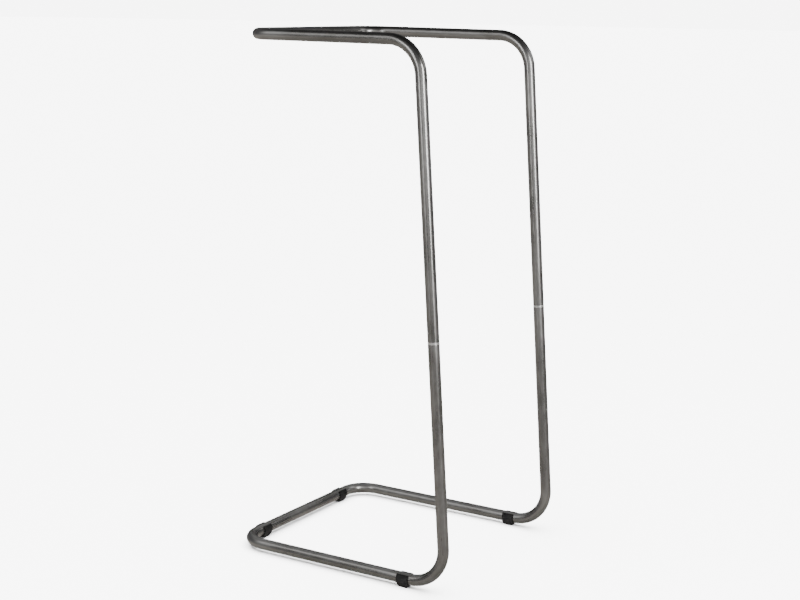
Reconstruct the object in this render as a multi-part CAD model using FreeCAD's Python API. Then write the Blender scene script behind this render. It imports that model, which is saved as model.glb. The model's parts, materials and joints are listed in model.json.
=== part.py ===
"""Valet stand: two bent steel tubes plugged together on two turned connectors, standing on four clip-on glides.

Units are millimetres.  +Z is up, +X is the stand's right, and the arms reach forward along -Y.
The origin is on the floor, at the centre of the stand's footprint box.
The base loop lies on the floor; two uprights rise from its back ends and lean slightly forward;
the top loop, over which clothes are hung, runs forward from their upper ends.
"""

import FreeCAD
import Part

import math
import os

V = FreeCAD.Vector

# --- Driving dimensions -------------------------------------------------------------------

# Tube stock, the same for both frames.
TUBE_OD = 25.0
TUBE_WALL = 2.0

# Frame, measured on the tubes' centre lines.
WIDTH = 487.0  # between the two uprights
FRAME_HEIGHT = 1146.0  # from the base loop up to the top loop
BASE_DEPTH = 535.0  # uprights' foot to the base loop's front bar
TOP_DEPTH = 433.0  # uprights' head to the top loop's front bar
LEAN_DEG = 4.47  # uprights' forward lean from the vertical
ARM_BEND_R = 78.0  # bends between uprights and arms
CORNER_BEND_R = 58.0  # bends between arms and front bars
TUBE_END_CHAMFER = 0.4  # outer edge of each cut end

# Plug-in joint in each upright.
JOINT_HEIGHT = 542.0  # floor to the middle of the connector's collar
COLLAR_WIDTH = 5.0
COLLAR_CHAMFER = 0.3
PLUG_LENGTH_UP = 60.0  # stands up inside the upper frame
PLUG_LENGTH_DOWN = 50.0  # pressed into the lower frame
PLUG_TIP_CHAMFER = 2.5
SLIDE_CLEARANCE = 0.10  # radial, upper tube over the plug
PRESS_CLEARANCE = 0.01  # radial, lower tube round the plug
SEAT_CLEARANCE = 0.02  # upper tube's end face above the collar
CENTRE_DRILL_R = 3.0
CENTRE_DRILL_DEPTH = 4.0

# Clip-on glides.
GLIDE_LENGTH = 28.0
GLIDE_WALL = 2.5
GLIDE_SOLE = 6.0  # below the tube
GLIDE_SOLE_WIDTH = 16.0
GLIDE_MOUTH_DEG = 84.0  # opening at the top of the clip
GLIDE_CLEARANCE = 0.05
GLIDE_END_R = 8.0  # rounding of the sole's two ends
GLIDE_EDGE_R = 0.7
GLIDE_FROM_BEND = 1.0  # rear glides stand this far past the end of the arm bend
GLIDE_FROM_CORNER = 85.0  # front glides' middle, from the loop's corner point
PEG_R = 2.9
PEG_CLEARANCE = 0.15
PEG_REACH = 3.0  # past the inside of the tube wall

# --- Sizes that follow ---------------------------------------------------------------------

TUBE_R = TUBE_OD / 2
BORE_R = TUBE_R - TUBE_WALL
LEAN = math.radians(LEAN_DEG)
LEAN_REACH = FRAME_HEIGHT * math.tan(LEAN)
BASE_Z = GLIDE_SOLE + TUBE_R
TOP_Z = BASE_Z + FRAME_HEIGHT

# Rear glides start where the arm bend ends: its tangent length depends on the angle turned.
ARM_BEND_TURN = math.pi / 2 + LEAN
ARM_BEND_TANGENT = ARM_BEND_R * math.tan(ARM_BEND_TURN / 2)

# The footprint box runs from the back of the foot bends to the front-most bar.
BACK_REACH = ARM_BEND_R + TUBE_R - ARM_BEND_TANGENT
FRONT_REACH = max(LEAN_REACH + TOP_DEPTH + TUBE_R, BASE_DEPTH + TUBE_R + GLIDE_WALL)
FOOT_Y = (FRONT_REACH - BACK_REACH) / 2
HEAD_Y = FOOT_Y - LEAN_REACH
BASE_BAR_Y = FOOT_Y - BASE_DEPTH
TOP_BAR_Y = HEAD_Y - TOP_DEPTH

UP_ALONG = V(0, -math.sin(LEAN), math.cos(LEAN))  # along an upright, upwards
JOINT_FROM_FOOT = (JOINT_HEIGHT - BASE_Z) / math.cos(LEAN)

REAR_GLIDE_Y = FOOT_Y - ARM_BEND_TANGENT - GLIDE_FROM_BEND - GLIDE_LENGTH / 2
FRONT_GLIDE_X = WIDTH / 2 - GLIDE_FROM_CORNER

SIDES = {"left": -1, "right": 1}


def foot(side):
    """Corner point of the tube's centre line at the foot of one upright."""
    return V(side * WIDTH / 2, FOOT_Y, BASE_Z)


def head(side):
    """Corner point of the tube's centre line at the head of one upright."""
    return V(side * WIDTH / 2, HEAD_Y, TOP_Z)


def joint_centre(side):
    """Middle of the connector's collar in one upright."""
    return foot(side) + UP_ALONG * JOINT_FROM_FOOT


# --- Shared shapes ---------------------------------------------------------------------------


def bent_path(points, radii):
    """Wire through points, with a tangent arc of the given radius at each inner point."""
    edges = []
    start = points[0]
    for before, corner, after, radius in zip(points, points[1:], points[2:], radii):
        into = (before - corner).normalize()
        out = (after - corner).normalize()
        half_angle = math.acos(into.dot(out)) / 2
        tangent = radius / math.tan(half_angle)
        bisector = (into + out).normalize()
        centre = corner + bisector * (radius / math.sin(half_angle))
        arc_start = corner + into * tangent
        arc_end = corner + out * tangent
        edges.append(Part.LineSegment(start, arc_start).toShape())
        edges.append(Part.Arc(arc_start, centre - bisector * radius, arc_end).toShape())
        start = arc_end
    edges.append(Part.LineSegment(start, points[-1]).toShape())
    return Part.Wire(edges)


def rod_along(path, radius):
    """Solid round bar that follows a path."""
    first = path.OrderedEdges[0]
    at = first.valueAt(first.FirstParameter)
    along = first.tangentAt(first.FirstParameter)
    section = Part.Wire([Part.makeCircle(radius, at, along)])
    return path.makePipeShell([section], True, False)


def is_outer_rim(edge, ends):
    """True for the outer circle of a tube's cut end at one of the two end points."""
    if not isinstance(edge.Curve, Part.Circle) or abs(edge.Curve.Radius - TUBE_R) > 0.01:
        return False
    return any((edge.Curve.Center - end).Length < 0.01 for end in ends)


def bent_tube(points, radii):
    """Hollow tube of the stand's stock that follows the points."""
    path = bent_path(points, radii)
    tube = rod_along(path, TUBE_R).cut(rod_along(path, BORE_R)).Solids[0]
    section = math.pi * (TUBE_R**2 - BORE_R**2)
    share = tube.Volume / (section * path.Length)
    print(f"tube length {path.Length:.1f} mm, volume / (section x length) {share:.5f}")
    rims = [edge for edge in tube.Edges if is_outer_rim(edge, (points[0], points[-1]))]
    return tube.makeChamfer(TUBE_END_CHAMFER, rims).Solids[0]


def onto_upright(shape, side):
    """Turns a shape made round +Z at the origin onto an upright, at its joint."""
    placed = shape.copy()
    placed.rotate(V(0, 0, 0), V(1, 0, 0), LEAN_DEG)
    placed.translate(joint_centre(side))
    return placed


# --- Frames ------------------------------------------------------------------------------------


def lower_frame_tube():
    """Base loop with the lower part of both uprights, bent from one tube."""
    right_end = joint_centre(1) - UP_ALONG * (COLLAR_WIDTH / 2)
    left_end = joint_centre(-1) - UP_ALONG * (COLLAR_WIDTH / 2)
    corners = [V(WIDTH / 2, BASE_BAR_Y, BASE_Z), V(-WIDTH / 2, BASE_BAR_Y, BASE_Z)]
    points = [right_end, foot(1), *corners, foot(-1), left_end]
    radii = [ARM_BEND_R, CORNER_BEND_R, CORNER_BEND_R, ARM_BEND_R]
    tube = bent_tube(points, radii)
    for place in glide_places().values():
        tube = tube.cut(peg_hole(place["at"]))
    return tube.Solids[0]


def upper_frame_tube():
    """Top loop with the upper part of both uprights, bent from one tube."""
    rise = UP_ALONG * (COLLAR_WIDTH / 2 + SEAT_CLEARANCE)
    right_end = joint_centre(1) + rise
    left_end = joint_centre(-1) + rise
    corners = [V(WIDTH / 2, TOP_BAR_Y, TOP_Z), V(-WIDTH / 2, TOP_BAR_Y, TOP_Z)]
    points = [right_end, head(1), *corners, head(-1), left_end]
    radii = [ARM_BEND_R, CORNER_BEND_R, CORNER_BEND_R, ARM_BEND_R]
    return bent_tube(points, radii)


# --- Plug-in joint -------------------------------------------------------------------------------


def connector(side):
    """Turned plug with a collar: its lower half is pressed in, its upper half slides."""
    half = COLLAR_WIDTH / 2
    plug_up_r = BORE_R - SLIDE_CLEARANCE
    plug_down_r = BORE_R - PRESS_CLEARANCE
    top = half + PLUG_LENGTH_UP
    bottom = -half - PLUG_LENGTH_DOWN
    outline = [
        V(0, 0, top - CENTRE_DRILL_DEPTH),
        V(CENTRE_DRILL_R, 0, top),
        V(plug_up_r - PLUG_TIP_CHAMFER, 0, top),
        V(plug_up_r, 0, top - PLUG_TIP_CHAMFER),
        V(plug_up_r, 0, half),
        V(TUBE_R - COLLAR_CHAMFER, 0, half),
        V(TUBE_R, 0, half - COLLAR_CHAMFER),
        V(TUBE_R, 0, COLLAR_CHAMFER - half),
        V(TUBE_R - COLLAR_CHAMFER, 0, -half),
        V(plug_down_r, 0, -half),
        V(plug_down_r, 0, bottom + PLUG_TIP_CHAMFER),
        V(plug_down_r - PLUG_TIP_CHAMFER, 0, bottom),
        V(CENTRE_DRILL_R, 0, bottom),
        V(0, 0, bottom + CENTRE_DRILL_DEPTH),
    ]
    face = Part.Face(Part.makePolygon([*outline, outline[0]]))
    turned = face.revolve(V(0, 0, 0), V(0, 0, 1), 360)
    return onto_upright(turned.Solids[0], side)


# --- Glides ----------------------------------------------------------------------------------------


def glide_places():
    """Where each glide sits: its middle on the tube's centre line, and the tube's direction."""
    places = {}
    for name, side in SIDES.items():
        places["rear_" + name] = {"at": V(side * WIDTH / 2, REAR_GLIDE_Y, BASE_Z), "turn": 0}
        places["front_" + name] = {"at": V(side * FRONT_GLIDE_X, BASE_BAR_Y, BASE_Z), "turn": 90}
    return places


def peg_hole(at):
    """Cutter for the hole in the underside of the tube that a glide's peg enters."""
    return Part.makeCylinder(PEG_R + PEG_CLEARANCE, TUBE_R, at, V(0, 0, -1))


def glide_section():
    """Face across the tube, in XZ: a clip open at the top that runs down to a flat sole."""
    inner_r = TUBE_R + GLIDE_CLEARANCE
    outer_r = TUBE_R + GLIDE_WALL
    lip = math.pi / 2 - math.radians(GLIDE_MOUTH_DEG) / 2
    sole_x = GLIDE_SOLE_WIDTH / 2
    sole_z = -TUBE_R - GLIDE_SOLE
    sole_distance = math.hypot(sole_x, sole_z)
    # The flank runs from the sole's edge to the point where it touches the outer circle.
    flank = math.atan2(sole_z, sole_x) + math.acos(outer_r / sole_distance)

    def on_circle(radius, angle):
        return V(radius * math.cos(angle), 0, radius * math.sin(angle))

    def mirrored(point):
        return V(-point.x, 0, point.z)

    lip_outer = on_circle(outer_r, lip)
    lip_inner = on_circle(inner_r, lip)
    touch = on_circle(outer_r, flank)
    sole = V(sole_x, 0, sole_z)
    side_middle = on_circle(outer_r, (lip + flank) / 2)
    edges = [
        Part.LineSegment(lip_inner, lip_outer),
        Part.Arc(lip_outer, side_middle, touch),
        Part.LineSegment(touch, sole),
        Part.LineSegment(sole, mirrored(sole)),
        Part.LineSegment(mirrored(sole), mirrored(touch)),
        Part.Arc(mirrored(touch), mirrored(side_middle), mirrored(lip_outer)),
        Part.LineSegment(mirrored(lip_outer), mirrored(lip_inner)),
        Part.Arc(mirrored(lip_inner), V(0, 0, -inner_r), lip_inner),
    ]
    return Part.Face(Part.Wire([edge.toShape() for edge in edges]))


def glide_side_block():
    """Side view of a glide, in YZ, as a block: a rectangle with its two lower corners rounded."""
    half = GLIDE_LENGTH / 2
    bottom = -TUBE_R - GLIDE_SOLE
    top = TUBE_R + GLIDE_WALL
    block = Part.makeBox(4 * TUBE_R, GLIDE_LENGTH, top - bottom, V(-2 * TUBE_R, -half, bottom))
    lower = [
        edge
        for edge in block.Edges
        if abs(edge.CenterOfMass.z - bottom) < 0.01 and abs(abs(edge.CenterOfMass.y) - half) < 0.01
    ]
    return block.makeFillet(GLIDE_END_R, lower)


def glide(place):
    """One clip-on glide with its locating peg, seated on the tube at a place."""
    body = glide_section().extrude(V(0, GLIDE_LENGTH, 0))
    body.translate(V(0, -GLIDE_LENGTH / 2, 0))
    outer_r = TUBE_R + GLIDE_WALL
    lip_edges = [
        edge
        for edge in body.Edges
        if edge.CenterOfMass.z > TUBE_R / 2
        and abs(edge.Length - GLIDE_LENGTH) < 0.01
        and abs(math.hypot(edge.CenterOfMass.x, edge.CenterOfMass.z) - outer_r) < 0.01
    ]
    body = body.makeFillet(GLIDE_EDGE_R, lip_edges)
    body = body.common(glide_side_block()).Solids[0]
    peg_height = GLIDE_SOLE + TUBE_WALL + PEG_REACH - GLIDE_SOLE / 2
    peg = Part.makeCylinder(PEG_R, peg_height, V(0, 0, -TUBE_R - GLIDE_SOLE / 2))
    placed = body.fuse(peg).removeSplitter().Solids[0]
    placed.rotate(V(0, 0, 0), V(0, 0, 1), place["turn"])
    placed.translate(place["at"])
    return placed


# --- Export -------------------------------------------------------------------------------------------


def all_nodes():
    """Every sub-part of the stand, by node name."""
    nodes = {
        "lower_frame_tube": lower_frame_tube(),
        "upper_frame_tube": upper_frame_tube(),
    }
    for name, side in SIDES.items():
        nodes["connector_" + name] = connector(side)
    for name, place in glide_places().items():
        nodes["glide_" + name] = glide(place)
    return nodes


os.makedirs("parts", exist_ok=True)
for node_name, node_shape in all_nodes().items():
    solids = [solid.isValid() for solid in node_shape.Solids]
    print(f"{node_name}: {len(solids)} solid(s), valid {all(solids)}, {node_shape.Volume:.0f} mm3")
    node_shape.exportStep(f"parts/{node_name}.step")
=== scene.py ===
"""Valet stand, dressed for rendering: raw steel tubes, bright turned connectors and black clip-on glides.

Lengths are metres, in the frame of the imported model: +Z up, the top loop reaching forward along -Y.
"""

import json
import logging
import math
from collections.abc import Sequence
from dataclasses import dataclass, field
from enum import Enum

import bmesh
import bpy
from mathutils import Matrix, Quaternion, Vector


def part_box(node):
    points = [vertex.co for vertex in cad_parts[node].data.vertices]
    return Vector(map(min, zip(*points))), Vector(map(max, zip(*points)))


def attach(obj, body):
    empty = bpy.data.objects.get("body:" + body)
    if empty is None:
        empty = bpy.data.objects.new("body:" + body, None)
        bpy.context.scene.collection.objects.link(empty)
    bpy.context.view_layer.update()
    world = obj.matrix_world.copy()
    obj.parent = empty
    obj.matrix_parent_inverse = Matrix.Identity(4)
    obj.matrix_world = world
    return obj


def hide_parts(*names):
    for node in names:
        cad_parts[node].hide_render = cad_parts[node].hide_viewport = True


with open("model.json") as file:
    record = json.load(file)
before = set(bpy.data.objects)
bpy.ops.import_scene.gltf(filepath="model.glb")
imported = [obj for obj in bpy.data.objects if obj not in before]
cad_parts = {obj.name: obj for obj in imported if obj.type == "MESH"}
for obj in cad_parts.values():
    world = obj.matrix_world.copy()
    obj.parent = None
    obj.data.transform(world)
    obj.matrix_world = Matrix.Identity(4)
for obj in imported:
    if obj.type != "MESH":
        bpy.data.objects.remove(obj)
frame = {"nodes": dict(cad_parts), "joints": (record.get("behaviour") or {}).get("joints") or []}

LOG = logging.getLogger("valet_stand")
MM = 0.001
WELD = 0.001 * MM  # points nearer than this are one point

Triple = tuple[float, float, float]
Stops = Sequence[tuple[float, Triple]]


class Side(Enum):
    """The two uprights, by the sign of their X."""

    LEFT = -1
    RIGHT = 1

    @property
    def word(self) -> str:
        """Lower-case name, as the nodes use it."""
        return self.name.lower()


class Slot(Enum):
    """The record's material slots."""

    TUBE = "tube_steel"
    CONNECTOR = "connector_steel"
    GLIDE = "glide_plastic"


# --- Materials ---------------------------------------------------------------------------------


def fill_ramp(color_ramp: bpy.types.ColorRamp, stops: Stops) -> None:
    """Gives a new colour ramp its stops.

    Args:
        color_ramp: The ramp.
        stops: Positions, rising, and their colours.
    """
    elements = color_ramp.elements
    while len(elements) < len(stops):
        elements.new(0.5)
    for element, (position, color) in zip(elements, stops):
        element.position = position
        element.color = (*color, 1.0)


class Wiring:
    """Adds and links the nodes of one material."""

    def __init__(self, name: str) -> None:
        """Starts a material that has only its Principled shader.

        Args:
            name: Material name.
        """
        self.material = bpy.data.materials.new(name)
        self.material.use_nodes = True
        self.tree = self.material.node_tree
        self.shader = self.tree.nodes["Principled BSDF"]

    def add(
        self, kind: str, inputs: dict[str, object] | None = None, **settings: object
    ) -> bpy.types.Node:
        """Adds a node.

        Args:
            kind: Node type, such as ShaderNodeTexNoise.
            inputs: Socket name to a plain value or to the output socket that feeds it.
            settings: Attributes set on the node.

        Returns:
            The new node.
        """
        node = self.tree.nodes.new(kind)
        for name, value in settings.items():
            setattr(node, name, value)
        for name, value in (inputs or {}).items():
            self.feed(node.inputs[name], value)
        return node

    def feed(self, socket: bpy.types.NodeSocket, value: object) -> None:
        """Links an output socket to an input, or sets the input's value.

        Args:
            socket: The input.
            value: An output socket, or a plain value.
        """
        if isinstance(value, bpy.types.NodeSocket):
            self.tree.links.new(value, socket)
        else:
            socket.default_value = value

    def surface(self, **values: object) -> None:
        """Sets or links the shader's sockets; an underscore in a name stands for a space."""
        for name, value in values.items():
            self.feed(self.shader.inputs[name.replace("_", " ")], value)

    def stretched(self, source: bpy.types.NodeSocket, scale: Sequence[float]) -> bpy.types.NodeSocket:
        """Scales a coordinate by axis and returns the result."""
        return self.add("ShaderNodeMapping", {"Vector": source, "Scale": scale}).outputs["Vector"]

    def noise(
        self, source: bpy.types.NodeSocket, scale: float, detail: float, rough: float = 0.5
    ) -> bpy.types.NodeSocket:
        """Adds a noise.

        Args:
            source: Coordinate.
            scale: Waves per unit of the coordinate.
            detail: Octaves.
            rough: Strength of each octave against the one before.

        Returns:
            Its value, between 0 and 1.
        """
        inputs = {"Vector": source, "Scale": scale, "Detail": detail, "Roughness": rough}
        return self.add("ShaderNodeTexNoise", inputs).outputs[0]

    def math(self, operation: str, first: object, second: object) -> bpy.types.NodeSocket:
        """Adds a two-value Math node.

        Args:
            operation: Its operation, such as ADD.
            first: First value or socket.
            second: Second value or socket.

        Returns:
            The result.
        """
        node = self.add("ShaderNodeMath", operation=operation)
        self.feed(node.inputs[0], first)
        self.feed(node.inputs[1], second)
        return node.outputs[0]

    def span(
        self, value: bpy.types.NodeSocket, source: tuple[float, float], target: tuple[float, float]
    ) -> bpy.types.NodeSocket:
        """Maps one range of a value to another, clamped.

        Args:
            value: The value.
            source: Range to map from.
            target: Range to map to.

        Returns:
            The mapped value.
        """
        inputs = {"Value": value, "From Min": source[0], "From Max": source[1]}
        inputs.update({"To Min": target[0], "To Max": target[1]})
        return self.add("ShaderNodeMapRange", inputs).outputs["Result"]

    def ramp(self, value: bpy.types.NodeSocket, stops: Stops) -> bpy.types.NodeSocket:
        """Turns a value into a colour.

        Args:
            value: Value between 0 and 1.
            stops: Positions, rising, and their colours.

        Returns:
            The colour socket.
        """
        node = self.add("ShaderNodeValToRGB", {"Fac": value})
        fill_ramp(node.color_ramp, stops)
        return node.outputs["Color"]

    def bump(self, height: bpy.types.NodeSocket, strength: float, distance: float) -> bpy.types.NodeSocket:
        """Returns a normal bent by a height, with distance in metres."""
        inputs = {"Height": height, "Strength": strength, "Distance": distance}
        return self.add("ShaderNodeBump", inputs).outputs["Normal"]


@dataclass(frozen=True)
class RawSteel:
    """Drawn steel tube under clear lacquer: drawing streaks along its length, and faint brown mottling.

    Reads the piece's "stock" attribute, which is each point's place on the straight tube before bending.

    Attributes:
        name: Material name.
        dark, middle, light: Colours of the mottling.
        roughness: Polish of the smoothest and of the dullest patches.
        streak_scale, cloud_scale, blotch_scale: Waves per metre across the tube, twice, and along it.
        grain_scale: Waves per metre of the finest grain.
        streak_share, cloud_share, blotch_share: Shares of each noise in the mottling.
        mottle_range, polish_range: The part of each mixed noise that is used.
        relief_strength, relief_depth: Strength and depth of the streaks and grain.
        lacquer, lacquer_roughness: Amount and roughness of the clear coat.
    """

    name: str = "raw_steel"
    dark: Triple = (0.205, 0.199, 0.189)
    middle: Triple = (0.295, 0.291, 0.283)
    light: Triple = (0.40, 0.397, 0.388)
    roughness: tuple[float, float] = (0.24, 0.34)
    streak_scale: Triple = (700.0, 700.0, 5.0)
    cloud_scale: Triple = (30.0, 30.0, 9.0)
    blotch_scale: Triple = (120.0, 120.0, 45.0)
    grain_scale: float = 2600.0
    streak_share: float = 0.23
    cloud_share: float = 0.55
    blotch_share: float = 0.22
    mottle_range: tuple[float, float] = (0.36, 0.64)
    polish_range: tuple[float, float] = (0.55, 0.95)
    relief_strength: float = 0.16
    relief_depth: float = 0.03 * MM
    lacquer: float = 0.2
    lacquer_roughness: float = 0.2

    def build(self) -> bpy.types.Material:
        """Makes the material.

        Returns:
            The material.
        """
        w = Wiring(self.name)
        stock = w.add("ShaderNodeAttribute", attribute_name="stock").outputs["Vector"]
        streaks = w.noise(w.stretched(stock, self.streak_scale), 1.0, 4.0, 0.6)
        clouds = w.noise(w.stretched(stock, self.cloud_scale), 1.0, 4.0, 0.55)
        blotches = w.noise(w.stretched(stock, self.blotch_scale), 1.0, 3.0, 0.5)
        grain = w.noise(stock, self.grain_scale, 2.0, 0.5)
        soft = w.math(
            "ADD",
            w.math("MULTIPLY", clouds, self.cloud_share),
            w.math("MULTIPLY", blotches, self.blotch_share),
        )
        mottle = w.math("ADD", soft, w.math("MULTIPLY", streaks, self.streak_share))
        stops = [(0.0, self.dark), (0.5, self.middle), (1.0, self.light)]
        color = w.ramp(w.span(mottle, self.mottle_range, (0.0, 1.0)), stops)
        relief = w.math("ADD", w.math("MULTIPLY", streaks, 0.6), w.math("MULTIPLY", grain, 0.4))
        polish = w.math("ADD", clouds, w.math("MULTIPLY", streaks, 0.5))
        w.surface(
            Base_Color=color,
            Metallic=1.0,
            Roughness=w.span(polish, self.polish_range, self.roughness),
            Normal=w.bump(relief, self.relief_strength, self.relief_depth),
            Coat_Weight=self.lacquer,
            Coat_Roughness=self.lacquer_roughness,
        )
        return w.material


@dataclass(frozen=True)
class TurnedSteel:
    """Bright steel as it leaves the lathe, with fine rings round its axis.

    Reads the piece's "stock" attribute: a point's place with the axis upright along Z.

    Attributes:
        name: Material name.
        dark, light: Colours of the faint haze.
        roughness: Polish of the smoothest and of the dullest rings.
        ring_scale: Waves per metre across the axis, twice, and along it.
        haze_scale: Waves per metre of the haze.
        relief_strength, relief_depth: Strength and depth of the rings.
    """

    name: str = "turned_steel"
    dark: Triple = (0.84, 0.84, 0.83)
    light: Triple = (0.97, 0.97, 0.96)
    roughness: tuple[float, float] = (0.26, 0.38)
    ring_scale: Triple = (6.0, 6.0, 5200.0)
    haze_scale: float = 110.0
    relief_strength: float = 0.25
    relief_depth: float = 0.04 * MM

    def build(self) -> bpy.types.Material:
        """Makes the material.

        Returns:
            The material.
        """
        w = Wiring(self.name)
        stock = w.add("ShaderNodeAttribute", attribute_name="stock").outputs["Vector"]
        rings = w.noise(w.stretched(stock, self.ring_scale), 1.0, 3.0, 0.6)
        haze = w.noise(stock, self.haze_scale, 3.0, 0.5)
        w.surface(
            Base_Color=w.ramp(haze, [(0.25, self.dark), (0.75, self.light)]),
            Metallic=1.0,
            Roughness=w.span(rings, (0.3, 0.7), self.roughness),
            Normal=w.bump(rings, self.relief_strength, self.relief_depth),
        )
        return w.material


@dataclass(frozen=True)
class MouldedPlastic:
    """Matte black plastic with a fine eroded grain, a little greyer where it has rubbed.

    Attributes:
        name: Material name.
        dark, light: Colours of fresh and of rubbed plastic.
        roughness: Polish of the grain's hollows and of its peaks.
        grain_scale, wear_scale: Waves per metre of the grain and of the rubbed patches.
        relief_strength, relief_depth: Strength and depth of the grain.
        specular: Specular level, low because the plastic hardly shines.
    """

    name: str = "moulded_black_plastic"
    dark: Triple = (0.0035, 0.0033, 0.0033)
    light: Triple = (0.009, 0.0084, 0.0084)
    roughness: tuple[float, float] = (0.55, 0.72)
    grain_scale: float = 2300.0
    wear_scale: float = 160.0
    relief_strength: float = 0.45
    relief_depth: float = 0.08 * MM
    specular: float = 0.2

    def build(self) -> bpy.types.Material:
        """Makes the material.

        Returns:
            The material.
        """
        w = Wiring(self.name)
        place = w.add("ShaderNodeTexCoord").outputs["Object"]
        grain = w.noise(place, self.grain_scale, 3.0, 0.6)
        wear = w.noise(place, self.wear_scale, 4.0, 0.6)
        w.surface(
            Base_Color=w.ramp(wear, [(0.35, self.dark), (0.75, self.light)]),
            Roughness=w.span(grain, (0.3, 0.7), self.roughness),
            Normal=w.bump(grain, self.relief_strength, self.relief_depth),
            Specular_IOR_Level=self.specular,
        )
        return w.material


@dataclass(frozen=True)
class PaintedFloor:
    """Plain pale floor.

    Attributes:
        name: Material name.
        color: Its colour.
        roughness: Its roughness.
    """

    name: str = "pale_floor"
    color: Triple = (0.92, 0.92, 0.92)
    roughness: float = 0.9

    def build(self) -> bpy.types.Material:
        """Makes the material.

        Returns:
            The material.
        """
        w = Wiring(self.name)
        w.surface(Base_Color=(*self.color, 1.0), Roughness=self.roughness, Specular_IOR_Level=0.0)
        return w.material


# --- Mesh helpers --------------------------------------------------------------------------------


def new_piece(name: str, mesh: bmesh.types.BMesh, material: bpy.types.Material) -> bpy.types.Object:
    """Turns a finished bmesh into an object with one material.

    Args:
        name: Piece name.
        mesh: The shape, in place; it is freed.
        material: Its finish.

    Returns:
        The new object.
    """
    data = bpy.data.meshes.new(name)
    mesh.to_mesh(data)
    mesh.free()
    data.materials.append(material)
    piece = bpy.data.objects.new(name, data)
    bpy.context.scene.collection.objects.link(piece)
    return piece


def hand_over(piece: bpy.types.Object, node: str, body: str) -> None:
    """Puts a piece in place of its CAD node and reports it.

    Args:
        piece: The piece.
        node: The CAD node that it stands for.
        body: The body that it rides on.
    """
    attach(piece, body)
    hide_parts(node)
    LOG.info("%s: %d faces, rides on %s", piece.name, len(piece.data.polygons), body)


def shade(mesh: bmesh.types.BMesh, sharp_deg: float) -> None:
    """Smooths all faces but keeps sharp edges crisp.

    Args:
        mesh: The shape.
        sharp_deg: Edges that turn by this much or more stay crisp.
    """
    for face in mesh.faces:
        face.smooth = True
    for edge in mesh.edges:
        edge.smooth = edge.calc_face_angle(0.0) < math.radians(sharp_deg)


# --- Tubes -----------------------------------------------------------------------------------------


@dataclass(frozen=True)
class Station:
    """One place along a tube's centre line.

    Attributes:
        centre: Point on the centre line.
        turn: Rotation whose Z runs along the tube.
        along: Distance from the tube's start.
    """

    centre: Vector
    turn: Quaternion
    along: float

    def matrix(self) -> Matrix:
        """Place and direction as one matrix."""
        return Matrix.LocRotScale(self.centre, self.turn, None)


@dataclass
class CentreLine:
    """Straight runs joined by tangent arcs, as a tube bender makes them.

    Attributes:
        corners: Both ends and the corner points between them.
        radii: Bend radius at each inner corner.
        step_deg: Turn between two stations of a bend.
    """

    corners: Sequence[Vector]
    radii: Sequence[float]
    step_deg: float = 3.0

    def stations(self) -> list[Station]:
        """Works out the stations.

        Returns:
            The stations from the first end to the last.
        """
        heading = (self.corners[1] - self.corners[0]).normalized()
        turn = Vector((0, 0, 1)).rotation_difference(heading)
        here = self.corners[0].copy()
        along = 0.0
        found = [Station(here, turn, along)]
        for corner, after, radius in zip(self.corners[1:], self.corners[2:], self.radii):
            leaving = (after - corner).normalized()
            angle = heading.angle(leaving)
            tangent = radius * math.tan(angle / 2)
            start = corner - heading * tangent
            along += (start - here).length
            axis = heading.cross(leaving).normalized()
            centre = start + axis.cross(heading) * radius
            steps = math.ceil(math.degrees(angle) / self.step_deg)
            for step in range(steps + 1):
                part = Quaternion(axis, angle * step / steps)
                place = centre + part @ (start - centre)
                found.append(Station(place, part @ turn, along + radius * angle * step / steps))
            turn = Quaternion(axis, angle) @ turn
            along += radius * angle
            here = corner + leaving * tangent
            heading = leaving
        end = self.corners[-1]
        found.append(Station(end.copy(), turn, along + (end - here).length))
        return found


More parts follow.
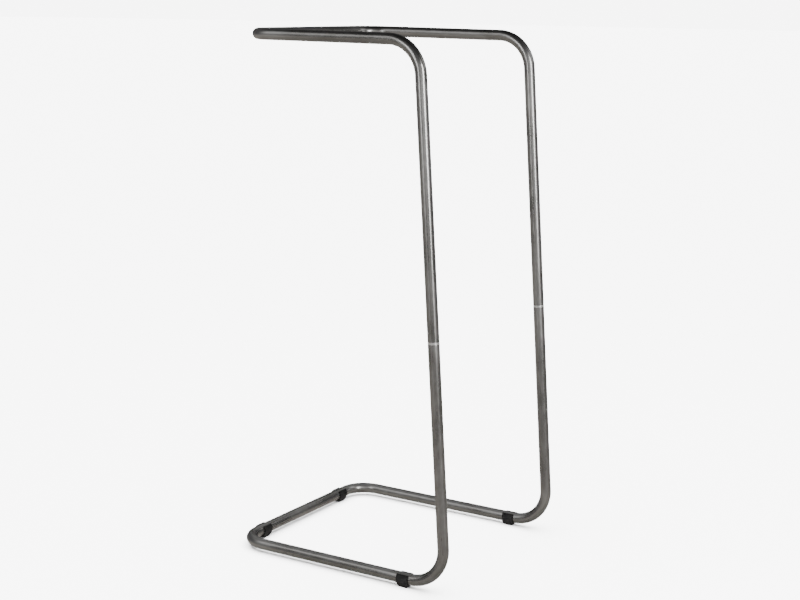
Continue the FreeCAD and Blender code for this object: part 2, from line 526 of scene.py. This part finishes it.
@dataclass
class BentTube:
    """Hollow round tube that follows a centre line.

    Attributes:
        radius: Outer radius.
        wall: Wall thickness.
        chamfer: Chamfer round the outside of both cut ends.
        burr: Chamfer round the bore of both cut ends.
        segments: Flats round the tube.
        sharp_deg: Edges that turn by this much or more stay crisp.
    """

    radius: float = 12.5 * MM
    wall: float = 2.0 * MM
    chamfer: float = 0.4 * MM
    burr: float = 0.15 * MM
    segments: int = 56
    sharp_deg: float = 30.0

    def rings(self, line: CentreLine) -> list[tuple[Station, float]]:
        """Lists the rings round the wall's whole section, out along the outside and back along the bore.

        Args:
            line: The tube's centre line.

        Returns:
            Each ring's station and radius.
        """
        stations = line.stations()
        first, last = stations[0], stations[-1]
        bore = self.radius - self.wall

        def moved(station: Station, distance: float) -> Station:
            """Slides a station along its own direction."""
            shift = station.turn @ Vector((0, 0, distance))
            return Station(station.centre + shift, station.turn, station.along + distance)

        outside = [(moved(first, self.chamfer), self.radius)]
        outside += [(station, self.radius) for station in stations[1:-1]]
        outside += [(moved(last, -self.chamfer), self.radius), (last, self.radius - self.chamfer)]
        inside = [(last, bore + self.burr), (moved(last, -self.burr), bore)]
        inside += [(station, bore) for station in reversed(stations[1:-1])]
        inside += [(moved(first, self.burr), bore), (first, bore + self.burr)]
        inside += [(first, self.radius - self.chamfer)]
        return outside + inside

    def build(self, name: str, line: CentreLine, material: bpy.types.Material) -> bpy.types.Object:
        """Sweeps the wall along the line.

        Args:
            name: Piece name.
            line: The tube's centre line.
            material: Its finish.

        Returns:
            The tube, with its "stock" attribute.
        """
        mesh = bmesh.new()
        stock = mesh.verts.layers.float_vector.new("stock")
        rings = self.rings(line)
        place, radius = rings[0]
        made = bmesh.ops.create_circle(mesh, segments=self.segments, radius=radius, matrix=place.matrix())
        verts = made["verts"]
        start_edges = edges = list({edge for vert in verts for edge in vert.link_edges})
        self.note_stock(verts, place, stock)
        for station, wide in rings[1:]:
            grown = bmesh.ops.extrude_edge_only(mesh, edges=edges)["geom"]
            verts = [item for item in grown if isinstance(item, bmesh.types.BMVert)]
            fresh = set(verts)
            grown_edges = [item for item in grown if isinstance(item, bmesh.types.BMEdge)]
            edges = [edge for edge in grown_edges if fresh.issuperset(edge.verts)]
            scale = Matrix.Diagonal((wide / radius, wide / radius, 1.0, 1.0))
            shift = station.matrix() @ scale @ place.matrix().inverted()
            bmesh.ops.transform(mesh, matrix=shift, verts=verts)
            self.note_stock(verts, station, stock)
            place, radius = station, wide
        bmesh.ops.bridge_loops(mesh, edges=edges + start_edges)
        bmesh.ops.recalc_face_normals(mesh, faces=mesh.faces)
        shade(mesh, self.sharp_deg)
        return new_piece(name, mesh, material)

    @staticmethod
    def note_stock(
        verts: Sequence[bmesh.types.BMVert], station: Station, layer: bmesh.types.BMLayerItem
    ) -> None:
        """Writes each point's place on the straight tube before bending.

        Args:
            verts: The points of one ring.
            station: The ring's station.
            layer: The "stock" layer.
        """
        back = station.matrix().inverted()
        for vert in verts:
            local = back @ vert.co
            vert[layer] = Vector((local.x, local.y, station.along))


@dataclass
class FramePlan:
    """Corner points of both frames' centre lines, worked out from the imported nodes' boxes.

    Attributes:
        tube: The tube stock both frames are bent from.
        arm_bend: Bend radius between uprights and arms.
        corner_bend: Bend radius between arms and front bars.
        up: Direction of the uprights.
        half_width: Distance of the uprights' centre lines from the middle.
        base: Middle of the lower front bar.
        top: Middle of the upper front bar.
        foot_y: Where the uprights' lines meet the lower arms' lines.
        head_y: Where the uprights' lines meet the upper arms' lines.
        lower_end_z: Height of the lower frame's cut ends, at their middles.
        upper_end_z: Height of the upper frame's cut ends, at their middles.
    """

    tube: BentTube
    arm_bend: float = 78.0 * MM
    corner_bend: float = 58.0 * MM
    up: Vector = field(init=False)
    half_width: float = field(init=False)
    base: Vector = field(init=False)
    top: Vector = field(init=False)
    foot_y: float = field(init=False)
    head_y: float = field(init=False)
    lower_end_z: float = field(init=False)
    upper_end_z: float = field(init=False)

    def __post_init__(self) -> None:
        """Reads the boxes of the two frames and the lean of the joint."""
        radius = self.tube.radius
        low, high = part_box("lower_frame_tube")
        top_low, top_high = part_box("upper_frame_tube")
        self.up = Vector(frame["joints"][0]["axis"]).normalized()
        lean = math.atan2(-self.up.y, self.up.z)
        self.half_width = high.x - radius
        self.base = Vector((0, low.y + radius, low.z + radius))
        self.top = Vector((0, top_low.y + radius, top_high.z - radius))
        tangent = self.arm_bend * math.tan((math.pi / 2 + lean) / 2)
        self.foot_y = high.y - (self.arm_bend + radius - tangent)
        self.head_y = self.foot_y - (self.top.z - self.base.z) * math.tan(lean)
        rim_rise = (radius - self.tube.chamfer) * math.sin(lean)
        self.lower_end_z = high.z - rim_rise
        self.upper_end_z = top_low.z + rim_rise

    def on_upright(self, side: Side, height: float) -> Vector:
        """Point of an upright's centre line at a height."""
        rise = height - self.base.z
        return Vector((side.value * self.half_width, self.foot_y, self.base.z)) + self.up * (rise / self.up.z)

    def lower_line(self) -> CentreLine:
        """Centre line of the lower frame, from the right upright's end to the left one's."""
        return self.loop(self.lower_end_z, self.foot_y, self.base)

    def upper_line(self) -> CentreLine:
        """Centre line of the upper frame, from the right upright's end to the left one's."""
        return self.loop(self.upper_end_z, self.head_y, self.top)

    def loop(self, end_z: float, arm_y: float, bar: Vector) -> CentreLine:
        """Works out the centre line of one frame.

        Args:
            end_z: Height of the cut ends.
            arm_y: Where the arms' lines meet the uprights' lines.
            bar: Middle of the front bar.

        Returns:
            The centre line.
        """
        right = [
            self.on_upright(Side.RIGHT, end_z),
            Vector((self.half_width, arm_y, bar.z)),
            Vector((self.half_width, bar.y, bar.z)),
        ]
        left = [Vector((-point.x, point.y, point.z)) for point in reversed(right)]
        radii = [self.arm_bend, self.corner_bend, self.corner_bend, self.arm_bend]
        return CentreLine(right + left, radii)


@dataclass
class Frames:
    """The two bent tubes.

    Attributes:
        plan: Where the tubes run.
        finish: Their steel.
    """

    plan: FramePlan
    finish: RawSteel = RawSteel()

    def build(self) -> None:
        """Makes both tubes in raw steel."""
        material = self.finish.build()
        jobs = (
            ("lower_tube", "lower_frame_tube", "lower_frame", self.plan.lower_line()),
            ("upper_tube", "upper_frame_tube", "upper_frame", self.plan.upper_line()),
        )
        for name, node, body, line in jobs:
            piece = self.plan.tube.build(name, line, material)
            hand_over(piece, node, body)


# --- Connectors --------------------------------------------------------------------------------------


@dataclass
class Connectors:
    """Turned plugs with a bright collar, one in each upright.

    Attributes:
        plan: Where the uprights are.
        collar_width: Height of the collar.
        collar_chamfer: Chamfer on the collar's two rims.
        up_length: Plug above the collar.
        down_length: Plug below the collar.
        up_radius: Radius of the plug that the upper frame slides over.
        down_radius: Radius of the plug pressed into the lower frame.
        tip_chamfer: Chamfer on the plug's ends.
        drill_radius: Radius of the centre drilling.
        drill_depth: Depth of the centre drilling.
        segments: Flats round the plug.
        sharp_deg: Edges that turn by this much or more stay crisp.
        finish: Their steel.
    """

    plan: FramePlan
    collar_width: float = 5.0 * MM
    collar_chamfer: float = 0.3 * MM
    up_length: float = 60.0 * MM
    down_length: float = 50.0 * MM
    up_radius: float = 10.4 * MM
    down_radius: float = 10.49 * MM
    tip_chamfer: float = 2.5 * MM
    drill_radius: float = 3.0 * MM
    drill_depth: float = 4.0 * MM
    segments: int = 72
    sharp_deg: float = 25.0
    finish: TurnedSteel = TurnedSteel()

    def outline(self) -> list[Vector]:
        """Draws half a section of the plug in the XZ plane.

        Returns:
            Its points, from the top drilling down to the bottom one.
        """
        half = self.collar_width / 2
        top, bottom = half + self.up_length, -half - self.down_length
        rim = self.plan.tube.radius
        chamfer, tip = self.collar_chamfer, self.tip_chamfer
        points = [
            (0.0, top - self.drill_depth),
            (self.drill_radius, top),
            (self.up_radius - tip, top),
            (self.up_radius, top - tip),
            (self.up_radius, half),
            (rim - chamfer, half),
            (rim, half - chamfer),
            (rim, chamfer - half),
            (rim - chamfer, -half),
            (self.down_radius, -half),
            (self.down_radius, bottom + tip),
            (self.down_radius - tip, bottom),
            (self.drill_radius, bottom),
            (0.0, bottom + self.drill_depth),
        ]
        return [Vector((x, 0, z)) for x, z in points]

    def turned(self) -> bmesh.types.BMesh:
        """Spins the outline into a solid and notes its unturned place as "stock".

        Returns:
            The plug, upright, with the collar's middle at the origin.
        """
        mesh = bmesh.new()
        layer = mesh.verts.layers.float_vector.new("stock")
        verts = [mesh.verts.new(point) for point in self.outline()]
        edges = [mesh.edges.new(pair) for pair in zip(verts, verts[1:])]
        bmesh.ops.spin(
            mesh,
            geom=verts + edges,
            cent=(0, 0, 0),
            axis=(0, 0, 1),
            angle=math.tau,
            steps=self.segments,
            use_merge=True,
        )
        bmesh.ops.remove_doubles(mesh, verts=mesh.verts, dist=WELD)
        bmesh.ops.recalc_face_normals(mesh, faces=mesh.faces)
        for vert in mesh.verts:
            vert[layer] = vert.co
        shade(mesh, self.sharp_deg)
        return mesh

    def build(self) -> None:
        """Makes both connectors and seats their collars on the lower frame's ends."""
        material = self.finish.build()
        turn = Vector((0, 0, 1)).rotation_difference(self.plan.up)
        for side in Side:
            mesh = self.turned()
            seat = self.plan.on_upright(side, self.plan.lower_end_z) + self.plan.up * (self.collar_width / 2)
            bmesh.ops.transform(mesh, matrix=Matrix.LocRotScale(seat, turn, None), verts=mesh.verts)
            piece = new_piece(f"plug_{side.word}", mesh, material)
            hand_over(piece, f"connector_{side.word}", "lower_frame")


# --- Glides --------------------------------------------------------------------------------------------


@dataclass
class Glides:
    """Black clip-on glides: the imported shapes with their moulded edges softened.

    Attributes:
        edge_radius: Rounding of the moulded edges.
        edge_deg: Edges that turn by more than this are rounded.
        edge_segments: Flats across each rounding.
        flat_deg: Faces that turn by less than this become one face.
        sharp_deg: Edges that turn by this much or more stay crisp.
        finish: Their plastic.
    """

    edge_radius: float = 0.45 * MM
    edge_deg: float = 28.0
    edge_segments: int = 3
    flat_deg: float = 0.5
    sharp_deg: float = 35.0
    finish: MouldedPlastic = MouldedPlastic()

    def build(self) -> None:
        """Makes all four glides."""
        material = self.finish.build()
        for row in ("rear", "front"):
            for side in Side:
                node = f"glide_{row}_{side.word}"
                piece = self.softened(node, material)
                hand_over(piece, node, "lower_frame")

    def softened(self, node: str, material: bpy.types.Material) -> bpy.types.Object:
        """Copies a packed glide and rounds its edges.

        Args:
            node: The glide's node.
            material: Its finish.

        Returns:
            The new piece.
        """
        mesh = bmesh.new()
        mesh.from_mesh(frame["nodes"][node].data)
        bmesh.ops.remove_doubles(mesh, verts=mesh.verts, dist=WELD)
        bmesh.ops.dissolve_limit(
            mesh,
            angle_limit=math.radians(self.flat_deg),
            verts=mesh.verts,
            edges=mesh.edges,
        )
        crisp = [edge for edge in mesh.edges if edge.calc_face_angle(0.0) > math.radians(self.edge_deg)]
        bmesh.ops.bevel(
            mesh,
            geom=crisp,
            offset=self.edge_radius,
            affect="EDGES",
            segments=self.edge_segments,
            profile=0.5,
            material=-1,
            clamp_overlap=True,
        )
        bmesh.ops.recalc_face_normals(mesh, faces=mesh.faces)
        shade(mesh, self.sharp_deg)
        return new_piece("clip_" + node, mesh, material)


# --- Studio ----------------------------------------------------------------------------------------------


@dataclass(frozen=True)
class SoftBox:
    """A rectangular studio light that faces a point.

    Attributes:
        name: Light name.
        place: Where it stands.
        target: What it faces.
        size: Width and height.
        power: Watts.
    """

    name: str
    place: Triple
    target: Triple
    size: tuple[float, float]
    power: float

    def build(self) -> None:
        """Adds the light to the scene."""
        data = bpy.data.lights.new(self.name, "AREA")
        data.shape = "RECTANGLE"
        data.size, data.size_y = self.size
        data.energy = self.power
        lamp = bpy.data.objects.new(self.name, data)
        lamp.location = self.place
        lamp.rotation_mode = "QUATERNION"
        lamp.rotation_quaternion = (Vector(self.target) - Vector(self.place)).to_track_quat("-Z", "Y")
        lamp.visible_camera = False
        bpy.context.scene.collection.objects.link(lamp)


SOFT_BOXES = (
    SoftBox("base_ceiling", place=(0.0, 0.0, 1.08), target=(0.0, 0.0, 0.0), size=(3.4, 3.4), power=11.0),
    SoftBox("key", place=(1.14, 3.64, 1.70), target=(0.1, 0.2, 0.9), size=(0.85, 2.0), power=100.0),
    SoftBox("fill", place=(3.70, -0.70, 1.65), target=(0.1, 0.2, 0.9), size=(0.85, 2.0), power=30.0),
    SoftBox("front", place=(4.40, 2.80, 1.70), target=(0.0, 0.0, 0.8), size=(3.0, 2.6), power=22.0),
    SoftBox("arm_side", place=(3.10, -2.20, 3.00), target=(0.2, 0.0, 0.3), size=(2.6, 2.0), power=15.0),
    SoftBox("bar_side", place=(-2.30, 3.00, 2.80), target=(0.0, -0.2, 0.3), size=(2.4, 2.0), power=16.0),
)


@dataclass
class Studio:
    """Camera, floor, surround and lights.

    Attributes:
        camera_place: Where the camera stands.
        azimuth: Direction it looks in; 0 is along +Y and 90 along -X.
        elevation: How far above the horizon it looks down from.
        roll: Its turn about its own line of sight.
        lens: Focal length for the sensor below, in millimetres.
        sensor: Sensor width, in millimetres.
        drop: Downward shift of the view, as a share of its width.
        floor_radius: Radius of the floor.
        floor_segments: Flats round the floor.
        wash: Irradiance of the soft light from above, in watts per square metre.
        wash_deg: Angular width of that light.
        backdrop: Brightness of the surround behind the stand.
        surround: Brightness that the steel reflects, from straight down to straight up.
        boxes: The soft boxes.
    """

    camera_place: Triple = (3.0247, 1.8311, 1.2615)
    azimuth: float = 121.22
    elevation: float = 9.30
    roll: float = 1.05
    lens: float = 71.24
    sensor: float = 36.0
    drop: float = 0.0625
    floor_radius: float = 60.0
    floor_segments: int = 96
    wash: float = 26.0
    wash_deg: float = 95.0
    backdrop: float = 8.8
    surround: tuple[tuple[float, Triple], ...] = (
        (0.0, (0.36, 0.345, 0.33)),
        (0.16, (0.44, 0.42, 0.39)),
        (0.30, (0.58, 0.54, 0.50)),
        (0.39, (0.41, 0.40, 0.38)),
        (0.47, (0.24, 0.24, 0.24)),
        (0.56, (0.16, 0.16, 0.16)),
        (0.75, (0.14, 0.14, 0.14)),
        (0.90, (0.08, 0.08, 0.08)),
        (0.97, (0.02, 0.02, 0.02)),
    )
    boxes: tuple[SoftBox, ...] = SOFT_BOXES

    def build(self) -> None:
        """Sets up everything that isn't the stand."""
        self.add_camera()
        floor = self.add_floor()
        self.add_world()
        self.add_wash(floor)
        for box in self.boxes:
            box.build()

    def add_wash(self, floor: bpy.types.Object) -> None:
        """Adds the broad light from above that whitens the floor alone; the stand only shades it.

        Args:
            floor: The floor.
        """
        data = bpy.data.lights.new("wash", "SUN")
        data.energy = self.wash
        data.angle = math.radians(self.wash_deg)
        lamp = bpy.data.objects.new("wash", data)
        lit = bpy.data.collections.new("washed")
        lit.objects.link(floor)
        lamp.light_linking.receiver_collection = lit
        bpy.context.scene.collection.objects.link(lamp)

    def add_camera(self) -> None:
        """Adds the camera."""
        azimuth, elevation = math.radians(self.azimuth), math.radians(self.elevation)
        back = Vector((
            math.sin(azimuth) * math.cos(elevation),
            -math.cos(azimuth) * math.cos(elevation),
            math.sin(elevation),
        ))
        right = Vector((math.cos(azimuth), math.sin(azimuth), 0.0))
        turn = Matrix((right, back.cross(right), back)).transposed()
        turn = turn @ Matrix.Rotation(math.radians(self.roll), 3, "Z")
        data = bpy.data.cameras.new("camera")
        data.lens = self.lens
        data.sensor_width = self.sensor
        data.shift_y = -self.drop
        camera = bpy.data.objects.new("camera", data)
        camera.matrix_world = Matrix.LocRotScale(Vector(self.camera_place), turn.to_quaternion(), None)
        bpy.context.scene.collection.objects.link(camera)
        bpy.context.scene.camera = camera

    def add_floor(self) -> bpy.types.Object:
        """Adds a wide round floor at the glides' soles.

        Returns:
            The floor.
        """
        mesh = bmesh.new()
        bmesh.ops.create_circle(mesh, cap_ends=True, segments=self.floor_segments, radius=self.floor_radius)
        floor = new_piece("floor", mesh, PaintedFloor().build())
        floor.visible_glossy = False
        return floor

    def add_world(self) -> None:
        """Adds a white backdrop, and for reflections a surround that is grey below and dark overhead."""
        world = bpy.data.worlds.new("studio")
        world.use_nodes = True
        bpy.context.scene.world = world
        tree = world.node_tree
        mirrored = tree.nodes["Background"]
        white = tree.nodes.new("ShaderNodeBackground")
        white.inputs["Strength"].default_value = self.backdrop
        coordinate = tree.nodes.new("ShaderNodeTexCoord")
        split = tree.nodes.new("ShaderNodeSeparateXYZ")
        height = tree.nodes.new("ShaderNodeMapRange")
        height.inputs["From Min"].default_value = -1.0
        ramp = tree.nodes.new("ShaderNodeValToRGB")
        fill_ramp(ramp.color_ramp, self.surround)
        path = tree.nodes.new("ShaderNodeLightPath")
        mix = tree.nodes.new("ShaderNodeMixShader")
        output = tree.nodes["World Output"]
        links = (
            (coordinate.outputs["Generated"], split.inputs[0]),
            (split.outputs["Z"], height.inputs["Value"]),
            (height.outputs["Result"], ramp.inputs["Fac"]),
            (ramp.outputs["Color"], mirrored.inputs["Color"]),
            (path.outputs["Is Camera Ray"], mix.inputs["Fac"]),
            (mirrored.outputs[0], mix.inputs[1]),
            (white.outputs[0], mix.inputs[2]),
            (mix.outputs[0], output.inputs["Surface"]),
        )
        for start, end in links:
            tree.links.new(start, end)


def main() -> None:
    """Builds the stand's pieces in order, then the studio."""
    logging.basicConfig(level=logging.INFO, format="%(name)s %(message)s")
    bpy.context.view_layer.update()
    plan = FramePlan(BentTube())
    Frames(plan).build()
    Connectors(plan).build()
    Glides().build()
    Studio().build()


if __name__ == "__main__":
    main()
